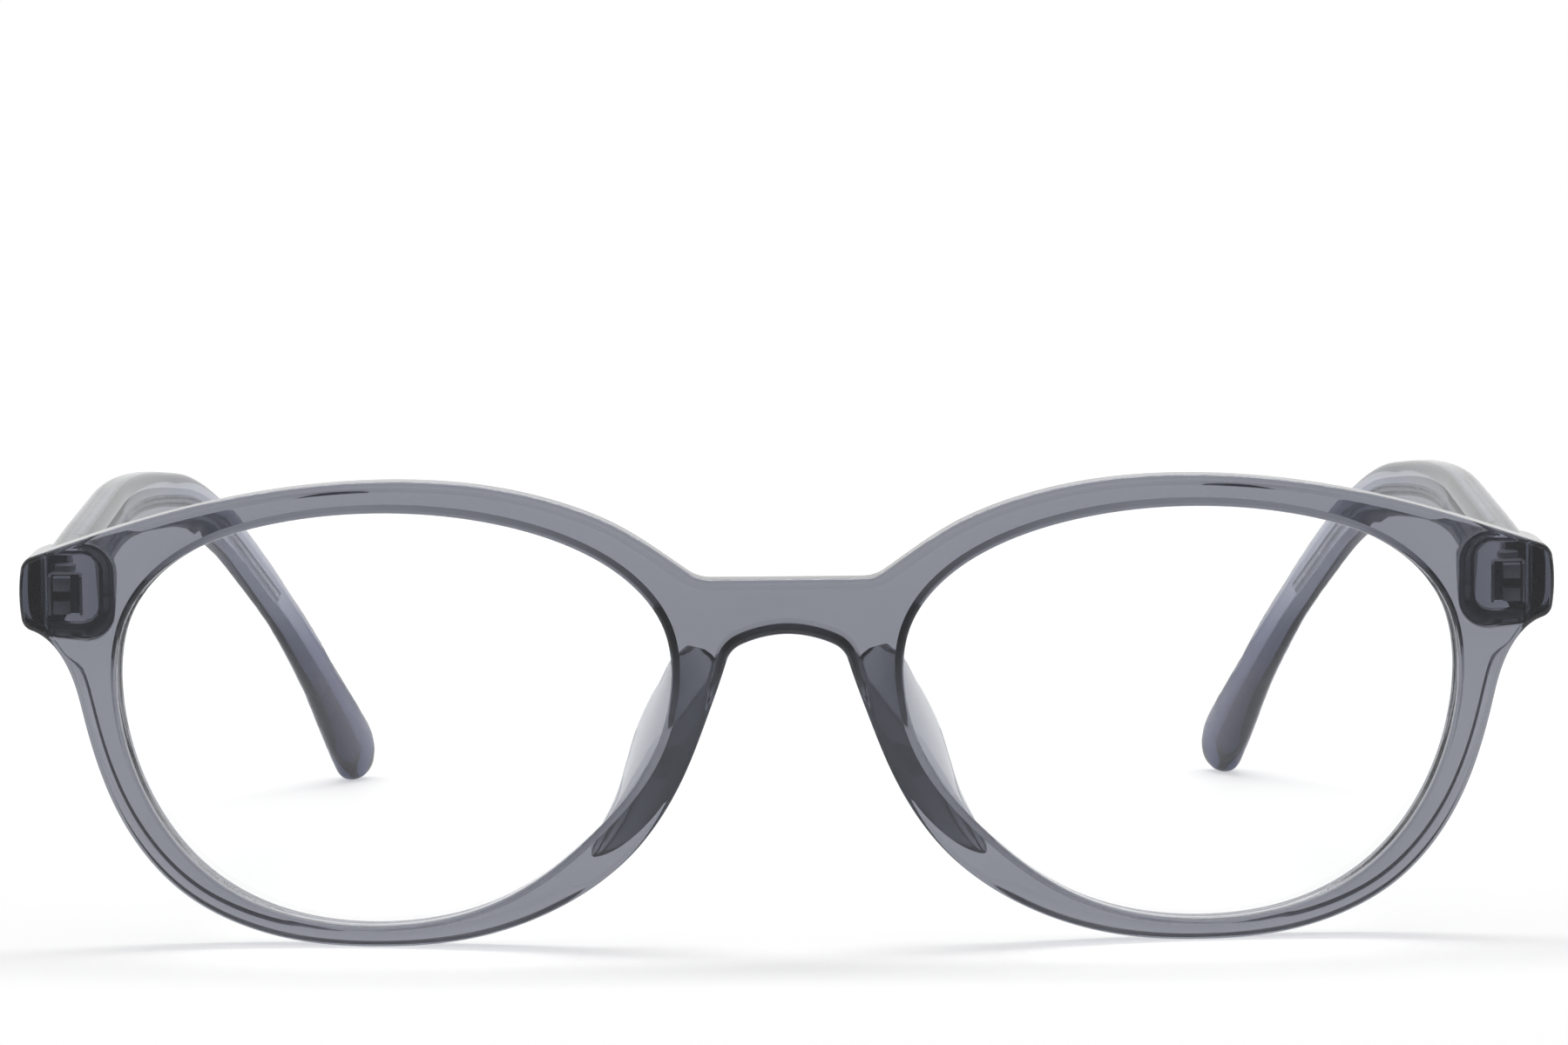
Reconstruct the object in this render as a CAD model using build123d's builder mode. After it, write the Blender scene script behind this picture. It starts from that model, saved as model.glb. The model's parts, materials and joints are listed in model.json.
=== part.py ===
"""Oval eyeglasses in translucent grey plastic, in millimetres.

+X is to the right as seen from the front, +Y points back to the wearer's ears and +Z is up.
The glasses stand open on their rims and temple tips, and the origin lies under their middle.
Left and right are the wearer's own, so the left temple is on the +X side.
"""
import os
from math import asin, cos, radians, sin, sqrt, tan

from build123d import *

os.makedirs("parts", exist_ok=True)

# Stance and overall form of the front
lean = 2.5  # degrees, the top of the front leans forward
wrap_radius = 300.0  # the front follows a sphere of this radius
front_thickness = 3.8

# Lens openings
eye_width = 51.4
eye_height = 38.1
eye_gap = 20.4
eye_shares = [
    (1.000, 0.226), (0.960, 0.480), (0.855, 0.676), (0.690, 0.828), (0.430, 0.942),
    (0.030, 1.000), (-0.385, 0.949), (-0.660, 0.834), (-0.860, 0.664), (-0.975, 0.450),
    (-0.996, 0.150), (-0.918, -0.192), (-0.733, -0.511), (-0.388, -0.860), (0.106, -1.000),
    (0.440, -0.933), (0.680, -0.762), (0.880, -0.440), (0.978, -0.090),
]

# Rims
rim_top = 2.9
rim_bottom = 1.9
rim_side = 3.5
brow_shares = [
    (-0.709, 0.810), (-0.558, 0.894), (-0.274, 0.980), (-0.014, 1.000), (0.253, 0.979),
    (0.534, 0.918), (0.795, 0.828),
]
lower_shares = [
    (1.030, 0.200), (0.988, 0.000), (0.940, -0.239), (0.887, -0.418), (0.788, -0.632),
    (0.675, -0.783), (0.545, -0.887), (0.339, -0.974), (0.079, -1.000), (-0.247, -0.954),
    (-0.503, -0.823), (-0.740, -0.580), (-0.916, -0.200), (-0.980, 0.026),
]
eye_round = 0.6
round_share = 0.75  # the most of the wall beside the groove that the edge round takes

# Bridge, whose rises are above the middle of the eyes
bridge_rise = 13.05
arch_rise = 8.05
bridge_half = 6.9
bridge_blend_run = 2.0
bridge_blend_rise = 0.62
arch_corner_run = 4.2
arch_corner_drop = 0.95
arch_foot_run = 5.52
arch_foot_drop = 2.46
arch_side_angle = 107.0  # degrees

# End pieces, outside the eyes and as deep as their side walls
end_reach = 8.8
end_rise = 14.7
end_height = 6.79
end_corner_run = 1.0
end_corner_drop = 1.2
end_lower_run = 0.9
end_lower_rise = 1.04
end_top_angle = -19.0  # degrees
end_under_angle = -163.0  # degrees
end_wall = 2.2
end_depth = 17.0
boss_recess = 3.0
boss_width = 5.2
boss_height = 6.4
boss_corner = 1.6
boss_slope = 1.5
boss_rise = 4.0

# Lenses and their grooves
lens_thickness = 1.4
bevel_height = 0.6
bevel_half = 0.85
groove_clearance = 0.05

# Nose pads, bonded to the rear of the rims
pad_height = 6.0
pad_base = 2.8
pad_lean = 24.0  # degrees, away from the nose
pad_crown = 0.5
pad_seat = 0.02
pad_shares = [
    (-0.949, 0.289, 0.20), (-0.925, 0.050, 0.78), (-0.860, -0.189, 1.00), (-0.743, -0.427, 0.72),
    (-0.606, -0.618, 0.20),
]

# Hinges, each of two barrels on the end piece and one on the temple
pivot_inset = 4.2
pivot_rise = 10.85
pivot_recess = 0.6
barrel_radius = 1.25
end_barrel_height = 1.2
middle_barrel_height = 1.1
barrel_gap = 0.05
screw_radius = 0.6
bore_clearance = 0.04
head_radius = 1.0
head_height = 0.5
slot_width = 0.3
slot_depth = 0.2
foot_width = 3.2
foot_depth = 1.5
leaf_length = 7.0
leaf_thickness = 1.1
inlay_clearance = 0.02
pocket_reach = 0.6

# Temples
temple_inset = 2.6
temple_gap = 0.15
temple_reach = 119.65
tip_inset = 18.4
tip_drop = 36.15
tip_bulge_share = 0.365  # the round tip passes the spine's end by this share of its half height
spine_shares = [
    (0.000, 0.000, 0.000), (0.408, 0.010, -0.073), (0.646, 0.275, 0.017),
    (0.810, 0.680, 0.447), (1.000, 1.000, 1.000),
]
spine_radius_share = 0.45
temple_thickness = 4.0
temple_height = 6.8
section_shares = [
    (0.00, 1.00, 0.98), (0.12, 1.00, 1.00), (0.26, 0.95, 0.97), (0.40, 0.90, 0.91),
    (0.52, 0.83, 0.84), (0.63, 0.77, 0.78), (0.75, 0.77, 0.79), (0.86, 0.89, 0.95),
    (0.94, 1.01, 1.12), (1.00, 1.05, 1.18),
]
section_corner_share = 0.3
section_count = 20
tip_trim = 0.15
notch_depth = 1.4
notch_margin = 0.3
wire_radius = 0.6
wire_start_share = 0.25
wire_end_share = 0.80
wire_clearance = 0.02

overrun = 10.0

# Places worked out from the sizes above
eye_out = (eye_gap + eye_width) / 2
eye_up = rim_bottom + eye_height / 2
front_half = eye_out + eye_width / 2 + end_reach
bridge_top = eye_up + bridge_rise
bridge_arch = eye_up + arch_rise
end_top = eye_up + end_rise
end_bottom = end_top - end_height
boss_depth = end_depth - boss_recess
pivot_out = front_half - pivot_inset
pivot_height = eye_up + pivot_rise
pivot_depth = end_depth - pivot_recess
temple_out = front_half - temple_inset
lean_sin = sin(radians(lean))
lean_cos = cos(radians(lean))


def sag(out, up):
    """Depth of the wrap sphere behind its foremost point."""
    return wrap_radius - sqrt(wrap_radius**2 - out**2 - (up - eye_up) ** 2)


tip_depth = end_depth + temple_gap + temple_reach
tip_half = temple_height * section_shares[-1][2] / 2
rear_reach = (tip_depth + tip_half * tip_bulge_share) * lean_cos
front_reach = bridge_top * lean_sin - sag(0, bridge_top)
front_plane = Plane(
    origin=(0, (front_reach - rear_reach) / 2, -sag(eye_out, 0) * lean_sin),
    x_dir=(1, 0, 0),
    z_dir=(0, -lean_cos, -lean_sin),
)


def place(out, up, depth):
    """World position of a point given out from the middle, up the front and back from it."""
    return front_plane.from_local_coords(Vector(out, up, -depth))


def heading(angle):
    """Unit direction in the plane of the front."""
    return (cos(radians(angle)), sin(radians(angle)))


def write_piece(builder, name):
    builder.part.label = name
    export_step(builder.part, f"parts/{name}.step")
    box = builder.part.bounding_box()
    print(name, [round(v, 2) for v in (*box.min, *box.max)])


def write_pair(builder, stem):
    """Writes the left piece and its mirror image."""
    write_piece(builder, f"{stem}_left")
    with BuildPart() as mirrored:
        mirror(builder.part, about=Plane.YZ)
    write_piece(mirrored, f"{stem}_right")


# Each lens lies in a plane square to the wrap, back where its edge meets the rim
lens_turn = asin(eye_out / wrap_radius)
edge_sag = (eye_width**2 + eye_height**2) / (16 * wrap_radius)
lens_depth = sag(eye_out, eye_up) + front_thickness / 2 + edge_sag
eye_plane = Plane(
    origin=place(eye_out, eye_up, lens_depth),
    x_dir=(cos(lens_turn), sin(lens_turn) * lean_cos, sin(lens_turn) * lean_sin),
    z_dir=(sin(lens_turn), -cos(lens_turn) * lean_cos, -cos(lens_turn) * lean_sin),
)


def eye_points(grow):
    """Outline of the lens opening, wider by the given length all round."""
    return [((eye_width / 2 + grow) * x, (eye_height / 2 + grow) * y) for x, y in eye_shares]


# The groove is flat and the rim is not, so the groove nears the edges at the sides of the eye
groove_drift = abs(eye_width**2 - eye_height**2) / (16 * wrap_radius)
groove_wall = front_thickness / 2 - bevel_half - groove_drift
edge_round = min(eye_round, round_share * groove_wall)

# Cutter for the lens opening and its groove
with BuildPart() as opening:
    with BuildSketch(eye_plane.offset(-overrun)):
        with BuildLine():
            Spline(*eye_points(0), periodic=True)
        make_face()
    extrude(amount=2 * overrun)
    for offset, grow in ((-bevel_half, 0), (0, bevel_height + groove_clearance), (bevel_half, 0)):
        with BuildSketch(eye_plane.offset(offset)):
            with BuildLine():
                Spline(*eye_points(grow), periodic=True)
            make_face()
    loft(ruled=True)

# Hinge places: the pivot plane looks up the hinge axis, with +Y of its sketches to the rear
hinge_half = end_barrel_height + barrel_gap + middle_barrel_height / 2
pivot_plane = Plane(
    origin=place(pivot_out, pivot_height, pivot_depth),
    x_dir=(1, 0, 0),
    z_dir=front_plane.y_dir,
)
boss_mid = front_half - end_wall - boss_width / 2
temple_inner = temple_out - temple_thickness / 2
leaf_middle = temple_inner + leaf_thickness / 2 - pivot_out
notch_out = barrel_radius + notch_margin
notch_back = end_depth + notch_depth - pivot_depth
arm_length = notch_back + leaf_thickness


def front_inlay(grow, reach):
    """Foot of the end piece's leaf, sunk in the boss, or its pocket, larger and open behind."""
    with BuildPart() as inlay:
        with BuildSketch(front_plane.offset(-boss_depth - reach)):
            with Locations((pivot_out, pivot_height)):
                Rectangle(foot_width + 2 * grow, 2 * (hinge_half + grow))
        extrude(amount=foot_depth + grow + reach)
    return inlay.part


def temple_inlay(grow, reach):
    """Leaf let into the inner face of the temple, or its pocket, larger and open to the inside."""
    with BuildPart() as inlay:
        with BuildSketch(pivot_plane.offset(-hinge_half - grow)):
            with Locations((leaf_middle + (grow - reach) / 2, notch_back + leaf_length / 2)):
                Rectangle(leaf_thickness + grow + reach, leaf_length + 2 * grow)
        extrude(amount=2 * (hinge_half + grow))
    return inlay.part


# The temple's spine: straight runs joined by arcs as large as the runs allow
spine_points = [
    place(
        temple_out - tip_inset * inset,
        pivot_height - tip_drop * drop,
        end_depth + temple_gap + temple_reach * back,
    )
    for back, inset, drop in spine_shares
]
spine_radii = []
for before, corner, after in zip(spine_points, spine_points[1:], spine_points[2:]):
    arriving, leaving = corner - before, after - corner
    turn = radians(arriving.get_angle(leaving))
    shorter = min(arriving.length, leaving.length)
    spine_radii.append(spine_radius_share * shorter / tan(turn / 2))
print("spine radii", [round(radius, 1) for radius in spine_radii])
with BuildLine() as spine:
    FilletPolyline(*spine_points, radius=spine_radii)
spine_wire = spine.wires()[0]
wire_points = [
    spine_points[0] + (spine_points[1] - spine_points[0]) * wire_start_share,
    spine_points[1],
    spine_points[2],
    spine_points[2] + (spine_points[3] - spine_points[2]) * wire_end_share,
]
with BuildPart() as wire_channel:
    with BuildLine() as channel_path:
        FilletPolyline(*wire_points, radius=spine_radii[: len(wire_points) - 2])
    with BuildSketch(Plane(origin=channel_path.line @ 0, z_dir=channel_path.line % 0)):
        Circle(wire_radius + wire_clearance)
    sweep(path=channel_path.line)

# Front: a slab cut from the outline, bounded by the wrap sphere and hollowed behind
brow_points = [
    (eye_out + (eye_width / 2 + rim_side) * x, eye_up + (eye_height / 2 + rim_top) * y)
    for x, y in brow_shares
]
lower_points = [
    (eye_out + (eye_width / 2 + rim_side) * x, eye_up * (1 + y)) for x, y in lower_shares
]
sphere_centre = place(0, eye_up, wrap_radius)
mid_radius = wrap_radius - front_thickness / 2

with BuildPart() as hollow:
    with Locations(sphere_centre):
        Sphere(wrap_radius - front_thickness)
    for side in (1, -1):
        for depth, spread in ((boss_depth, 0), (boss_depth - boss_rise, boss_slope)):
            with BuildSketch(front_plane.offset(-depth)):
                with Locations((side * (boss_mid + overrun / 2), (end_top + end_bottom) / 2)):
                    RectangleRounded(
                        boss_width + overrun + 2 * spread, boss_height + 2 * spread, boss_corner
                    )
        loft(ruled=True, mode=Mode.SUBTRACT)
        with BuildSketch(front_plane.offset(-end_depth)):
            with Locations((side * (front_half - end_wall + overrun / 2), end_bottom)):
                Rectangle(overrun, 4 * boss_height)
        extrude(amount=end_depth, mode=Mode.SUBTRACT)

with BuildPart() as front_frame:
    with BuildSketch(front_plane.offset(-end_depth)):
        with BuildLine():
            Line((0, bridge_top), (bridge_half, bridge_top))
            bridge_blend = TangentArc(
                (bridge_half, bridge_top),
                (bridge_half + bridge_blend_run, bridge_top + bridge_blend_rise),
                tangent=(1, 0),
            )
            brow = Spline(
                bridge_blend @ 1, *brow_points, (front_half - end_corner_run, end_top),
                tangents=(bridge_blend % 1, heading(end_top_angle)),
            )
            top_corner = TangentArc(
                brow @ 1, (front_half, end_top - end_corner_drop), tangent=brow % 1
            )
            end_side = TangentArc(
                top_corner @ 1, (front_half, end_bottom + end_lower_rise), tangent=top_corner % 1
            )
            low_corner = TangentArc(
                end_side @ 1, (front_half - end_lower_run, end_bottom), tangent=end_side % 1
            )
            lower = Spline(
                low_corner @ 1, *lower_points, (arch_foot_run, bridge_arch - arch_foot_drop),
                tangents=(low_corner % 1, heading(arch_side_angle)),
            )
            arch_corner = TangentArc(
                lower @ 1, (arch_corner_run, bridge_arch - arch_corner_drop), tangent=lower % 1
            )
            TangentArc(arch_corner @ 1, (0, bridge_arch), tangent=arch_corner % 1)
            mirror(about=Plane.YZ)
        make_face()
    extrude(amount=end_depth + overrun)
    with Locations(sphere_centre):
        Sphere(wrap_radius, mode=Mode.INTERSECT)
    add(hollow.part, mode=Mode.SUBTRACT)
    add(opening.part, mode=Mode.SUBTRACT)
    mirror(opening.part, about=Plane.YZ, mode=Mode.SUBTRACT)
    foot_pocket = front_inlay(inlay_clearance, pivot_depth - boss_depth)
    add(foot_pocket, mode=Mode.SUBTRACT)
    mirror(foot_pocket, about=Plane.YZ, mode=Mode.SUBTRACT)
    eye_edges = [
        edge for edge in front_frame.edges().filter_by(lambda edge: edge.is_closed)
        if abs((edge @ 0.5 - sphere_centre).length - mid_radius) > front_thickness / 2 - edge_round
    ]
    fillet(eye_edges, edge_round)
write_piece(front_frame, "front_frame")

# Lenses: a shell of the wrap sphere with a V-shaped edge
lens_front = wrap_radius - (front_thickness - lens_thickness) / 2
with BuildPart() as lens:
    for offset, grow in ((-bevel_half, 0), (0, bevel_height), (bevel_half, 0)):
        with BuildSketch(eye_plane.offset(offset)):
            with BuildLine():
                Spline(*eye_points(grow - groove_clearance), periodic=True)
            make_face()
    loft(ruled=True)
    with Locations(sphere_centre):
        Sphere(lens_front, mode=Mode.INTERSECT)
        Sphere(lens_front - lens_thickness, mode=Mode.SUBTRACT)
write_pair(lens, "lens")

# Nose pads: fins that lean away from the nose, lowest at their two ends
pad_spots = [
    (eye_out + (eye_width / 2 + rim_side) * x, eye_up * (1 + y)) for x, y, size in pad_shares
]
with BuildPart() as nose_pad:
    for i, (out, up) in enumerate(pad_spots):
        before, after = pad_spots[max(i - 1, 0)], pad_spots[min(i + 1, len(pad_spots) - 1)]
        run, rise = after[0] - before[0], after[1] - before[1]
        along = place(run, rise, 0) - place(0, 0, 0)
        across = place(-rise, run, 0) - place(0, 0, 0)
        size = pad_shares[i][2]
        height = pad_height * size
        half = pad_base / 2 * (1 + size) / 2
        tilt = height * tan(radians(pad_lean))
        seat = place(out, up, sag(out, up) + front_thickness)
        with BuildSketch(Plane(origin=seat, x_dir=across, z_dir=along)):
            with BuildLine():
                Polyline((-half, 0), (-half, pad_base), (half, pad_base), (half, 0))
                ThreePointArc((half, 0), (half + tilt / 2, -height / 2), (tilt + pad_crown, -height))
                Line((tilt + pad_crown, -height), (tilt - pad_crown, -height))
                ThreePointArc((tilt - pad_crown, -height), (tilt / 4 - half, -height / 2), (-half, 0))
            make_face()
    loft()
    with Locations(sphere_centre):
        Sphere(wrap_radius - front_thickness - pad_seat, mode=Mode.INTERSECT)
write_pair(nose_pad, "nose_pad")

# Hinge on the end piece: a foot sunk in the boss and two barrels on lugs
with BuildPart() as front_hinge:
    add(front_inlay(0, 0))
    for level in (-1, 1):
        base = level * (hinge_half - end_barrel_height / 2) - end_barrel_height / 2
        with BuildSketch(pivot_plane.offset(base)):
            with Locations((0, (boss_depth - pivot_depth) / 2)):
                Rectangle(2 * barrel_radius, pivot_depth - boss_depth)
            Circle(barrel_radius)
            Circle(screw_radius + bore_clearance, mode=Mode.SUBTRACT)
        extrude(amount=end_barrel_height)
write_pair(front_hinge, "front_hinge")

# Screw: slotted head on the upper barrel, shank down to the lower one's foot
with BuildPart() as hinge_screw:
    with BuildSketch(pivot_plane.offset(-hinge_half)):
        Circle(screw_radius)
    extrude(amount=2 * hinge_half)
    with BuildSketch(pivot_plane.offset(hinge_half)):
        Circle(head_radius)
    extrude(amount=head_height)
    with BuildSketch(pivot_plane.offset(hinge_half + head_height - slot_depth)):
        Rectangle(3 * head_radius, slot_width)
    extrude(amount=head_height, mode=Mode.SUBTRACT)
write_pair(hinge_screw, "hinge_screw")

# Hinge on the temple: one barrel, an arm and a leaf let into the temple's inner face
with BuildPart() as temple_hinge:
    with BuildSketch(pivot_plane.offset(-middle_barrel_height / 2)):
        Circle(barrel_radius)
        with Locations((leaf_middle, arm_length / 2)):
            Rectangle(leaf_thickness, arm_length)
        Circle(screw_radius + bore_clearance, mode=Mode.SUBTRACT)
    extrude(amount=middle_barrel_height)
    add(temple_inlay(0, 0))
write_pair(temple_hinge, "temple_hinge")

# Core wire along the middle of the temple, short of its tip
with BuildPart() as core_wire:
    with BuildLine() as wire_path:
        FilletPolyline(*wire_points, radius=spine_radii[: len(wire_points) - 2])
    with BuildSketch(Plane(origin=wire_path.line @ 0, z_dir=wire_path.line % 0)):
        Circle(wire_radius)
    sweep(path=wire_path.line)
write_pair(core_wire, "core_wire")

# Temple: sections along the spine, slim at the ear and broad at the round tip
tip_way = spine_wire.tangent_at(1)
tip_plane = Plane(
    origin=spine_wire.position_at(1) - tip_way * (tip_half + tip_trim),
    x_dir=tip_way,
    z_dir=tip_way.cross(front_plane.y_dir),
)


def temple_size(along):
    """Thickness and height of the temple at a share of its length."""
    for (start, thin, low), (end, thick, tall) in zip(section_shares, section_shares[1:]):
        if along <= end:
            blend = (along - start) / (end - start)
            return thin + (thick - thin) * blend, low + (tall - low) * blend


with BuildPart() as temple:
    for i in range(section_count):
        along = i / (section_count - 1)
        thick, tall = temple_size(along)
        spot = spine_wire.position_at(along)
        way = spine_wire.tangent_at(along)
        if along == 0:
            way = -front_plane.z_dir
        with BuildSketch(Plane(origin=spot, x_dir=way.cross(front_plane.y_dir), z_dir=way)):
            corner = temple_thickness * thick * section_corner_share
            RectangleRounded(temple_thickness * thick, temple_height * tall, corner)
    loft()
    with BuildSketch(pivot_plane.offset(-temple_height)):
        with Locations((notch_out - overrun / 2, notch_back - overrun / 2)):
            Rectangle(overrun, overrun)
    extrude(amount=2 * temple_height, mode=Mode.SUBTRACT)
    with BuildSketch(tip_plane.offset(-temple_thickness)):
        with Locations((overrun / 2, 0)):
            Rectangle(overrun, 3 * temple_height)
        Circle(tip_half, mode=Mode.SUBTRACT)
    extrude(amount=2 * temple_thickness, mode=Mode.SUBTRACT)
    add(temple_inlay(inlay_clearance, pocket_reach), mode=Mode.SUBTRACT)
    add(wire_channel.part, mode=Mode.SUBTRACT)
write_pair(temple, "temple")
print("joint", [round(v / 1000, 6) for v in place(pivot_out, pivot_height, pivot_depth)])
print("axis", [round(v, 6) for v in front_plane.y_dir])
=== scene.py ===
import json
from math import asin, cos, pi, radians, sin, sqrt

import bmesh
import bpy
import numpy as np
from mathutils import Matrix, Vector
from mathutils.geometry import delaunay_2d_cdt


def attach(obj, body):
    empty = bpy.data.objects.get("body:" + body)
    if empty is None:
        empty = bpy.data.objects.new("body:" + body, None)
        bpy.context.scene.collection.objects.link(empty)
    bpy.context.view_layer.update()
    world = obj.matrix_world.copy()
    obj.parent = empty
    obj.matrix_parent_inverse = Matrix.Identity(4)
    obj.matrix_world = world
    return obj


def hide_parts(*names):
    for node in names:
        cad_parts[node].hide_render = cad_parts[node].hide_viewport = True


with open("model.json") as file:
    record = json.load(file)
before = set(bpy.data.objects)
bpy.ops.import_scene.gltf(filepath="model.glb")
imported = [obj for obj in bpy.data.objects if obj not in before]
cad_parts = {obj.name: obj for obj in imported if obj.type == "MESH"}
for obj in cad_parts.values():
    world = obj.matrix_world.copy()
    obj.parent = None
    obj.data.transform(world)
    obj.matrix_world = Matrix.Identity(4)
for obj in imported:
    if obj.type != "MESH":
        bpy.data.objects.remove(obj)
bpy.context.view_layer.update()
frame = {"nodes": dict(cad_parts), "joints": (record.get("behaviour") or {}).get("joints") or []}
hands = ((1, "left"), (-1, "right"))
fineness = {"splineStep": 0.02, "arc": 40, "straight": 60, "bend": 120}  # points along the curves
print("frame loaded:", len(frame["nodes"]), "nodes")


def setAll(thing, **values):
    for key, value in values.items():
        setattr(thing, key, value)
    return thing


# sets a node's inputs, by label or number, to values or to other nodes' sockets
def plug(tree, node, values):
    for label, value in values.items():
        for one in value if isinstance(value, list) else [value]:
            if isinstance(one, bpy.types.NodeSocket):
                tree.links.new(one, node.inputs[label])
            else:
                node.inputs[label].default_value = one
    return node


def addNode(tree, kind, values=None, **settings):
    return plug(tree, setAll(tree.nodes.new(kind), **settings), values or {})


# a node that is used for its first output
def addStep(tree, kind, values=None, **settings):
    return addNode(tree, kind, values, **settings).outputs[0]


def addMath(tree, operation, *values):
    return addStep(tree, "ShaderNodeMath", dict(enumerate(values)), operation=operation)


def addRange(tree, value, start, end, low=0.0, high=1.0, smooth=True):
    values = {"Value": value, "From Min": start, "From Max": end, "To Min": low, "To Max": high}
    return addStep(tree, "ShaderNodeMapRange", values, interpolation_type="SMOOTHSTEP" if smooth else "LINEAR")


def addMix(tree, share, first, second):
    return addNode(tree, "ShaderNodeMix", {"Factor": share, 6: first, 7: second}, data_type="RGBA").outputs[2]


def ownPlace(tree):
    return addNode(tree, "ShaderNodeTexCoord").outputs["Object"]


# a socket's type by its default: geometry and materials have none, and are labelled as what they are
def socketType(label, value):
    if isinstance(value, tuple):
        return "NodeSocketColor" if len(value) == 4 else "NodeSocketVector"
    return "NodeSocket" + (label if value is None else "Int" if isinstance(value, int) else "Float")


# gives the group, the sockets of its inputs and the node that takes its results
def newGroup(name, kind, inputs, outputs):
    tree = bpy.data.node_groups.new(name, kind)
    for way, sockets in (("INPUT", inputs), ("OUTPUT", outputs)):
        for label, value in sockets.items():
            socket = tree.interface.new_socket(label, in_out=way, socket_type=socketType(label, value))
            if value is not None:
                socket.default_value = value
    return tree, tree.nodes.new("NodeGroupInput").outputs, tree.nodes.new("NodeGroupOutput")


# tumbled polish: roughness that drifts a little and a shallow waviness, in the piece's own metres
polish, given, results = newGroup(
    "tumbledPolish", "ShaderNodeTree", {"Scale": 90.0, "Smoothest": 0.01, "Roughest": 0.04, "Grain": 900.0},
    {"Roughness": 0.0, "Height": 0.0},
)
place = ownPlace(polish)
drift = addStep(polish, "ShaderNodeTexNoise",
                {"Vector": place, "Scale": given["Scale"], "Detail": 3.0, "Roughness": 0.6})
grain = addStep(polish, "ShaderNodeTexNoise", {"Vector": place, "Scale": given["Grain"], "Detail": 1.0})
drift = addRange(polish, drift, 0.35, 0.7, given["Smoothest"], given["Roughest"], smooth=False)
plug(polish, results, {"Roughness": drift, "Height": grain})

# colour drift: two near tints in soft clouds
clouds, given, results = newGroup(
    "colourClouds", "ShaderNodeTree", {"Scale": 60.0, "Thin": (1, 1, 1, 1), "Dense": (0.9, 0.9, 0.9, 1)},
    {"Color": (0, 0, 0, 1)},
)
cloud = addStep(clouds, "ShaderNodeTexNoise",
                {"Vector": ownPlace(clouds), "Scale": given["Scale"], "Detail": 2.0, "Distortion": 0.6})
plug(clouds, results, {"Color": addMix(clouds, cloud, given["Thin"], given["Dense"])})

# painted light and shade along the piece: a tint that changes from the front through the middle to the far end, lighter
# at the front and darker at the far end
paintedShadeAlong, given, results = newGroup(
    "paintedShadeAlongPiece", "ShaderNodeTree",
    {"Near": (1, 1, 1, 1), "Middle": (0.8, 0.8, 0.8, 1), "Far": (0.5, 0.5, 0.5, 1),
     "Near Place": 0.04, "Middle Place": 0.08, "Far Place": 0.12},
    {"Color": (0, 0, 0, 1)},
)
back = addNode(paintedShadeAlong, "ShaderNodeSeparateXYZ", {0: ownPlace(paintedShadeAlong)}).outputs["Y"]
tint = given["Near"]
for start, end in (("Near", "Middle"), ("Middle", "Far")):
    share = addRange(paintedShadeAlong, back, given[start + " Place"], given[end + " Place"])
    tint = addMix(paintedShadeAlong, share, tint, given[end])
plug(paintedShadeAlong, results, {"Color": tint})

# brushed metal: fine lines drawn out along one axis of the piece
brushing, given, results = newGroup(
    "fineBrushing", "ShaderNodeTree", {"Scale": 2500.0, "Stretch": (1, 0.06, 1), "Smoothest": 0.2, "Roughest": 0.42},
    {"Roughness": 0.0, "Height": 0.0},
)
stretched = addStep(brushing, "ShaderNodeVectorMath", {0: ownPlace(brushing), 1: given["Stretch"]},
                    operation="MULTIPLY")
lines = addStep(brushing, "ShaderNodeTexNoise",
                {"Vector": stretched, "Scale": given["Scale"], "Detail": 4.0, "Roughness": 0.7})
spread = addRange(brushing, lines, 0.3, 0.7, given["Smoothest"], given["Roughest"], smooth=False)
plug(brushing, results, {"Roughness": spread, "Height": lines})
print("shader groups made")


def newMaterial(name):
    material = bpy.data.materials.new(name)
    material.use_nodes = True
    material.node_tree.nodes.clear()
    return material, material.node_tree, material.node_tree.nodes.new("ShaderNodeOutputMaterial")


def placeGroup(tree, group, values):
    return addNode(tree, "ShaderNodeGroup", values, node_tree=group).outputs


def lookMaterial(name, look):
    material, tree, output = newMaterial(name)
    # temples take painted light and shade along their length in place of the clouds
    if "places" in look:
        labels = ("Near", "Middle", "Far")
        values = {label: look[label.lower()] for label in labels}
        values.update((label + " Place", place) for label, place in zip(labels, look["places"]))
        tint = placeGroup(tree, paintedShadeAlong, values)
    else:
        tint = placeGroup(tree, clouds, {"Scale": look["cloudScale"], "Thin": look["thin"], "Dense": look["dense"]})
    values = {"Smoothest": look["smoothest"], "Roughest": look["roughest"]}
    if "stretch" in look:
        surface = placeGroup(tree, brushing, {"Stretch": look["stretch"], **values})
    else:
        surface = placeGroup(tree, polish, values)
    bump = addStep(tree, "ShaderNodeBump", {"Strength": 1.0, "Distance": look["wave"], "Height": surface["Height"]})
    shader = addStep(tree, "ShaderNodeBsdfPrincipled", {
        **look["shader"], "Base Color": tint["Color"], "Roughness": surface["Roughness"], "Normal": bump,
    })
    if "shadow" in look:  # lamps shine through a clear solid, which leaves only a tinted shadow
        path = addNode(tree, "ShaderNodeLightPath").outputs
        clear = addStep(tree, "ShaderNodeBsdfTransparent", {"Color": look["shadow"]})
        shader = addStep(tree, "ShaderNodeMixShader", {0: path["Is Shadow Ray"], 1: shader, 2: clear})
    plug(tree, output, {"Surface": shader})
    if "density" in look:
        volume = {"Color": look["absorb"], "Density": look["density"]}
        plug(tree, output, {"Volume": addStep(tree, "ShaderNodeVolumeAbsorption", volume)})
    return material


def clearShader(index, clearness, gloss):
    return {"IOR": index, "Transmission Weight": clearness, "Specular IOR Level": gloss}


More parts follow.
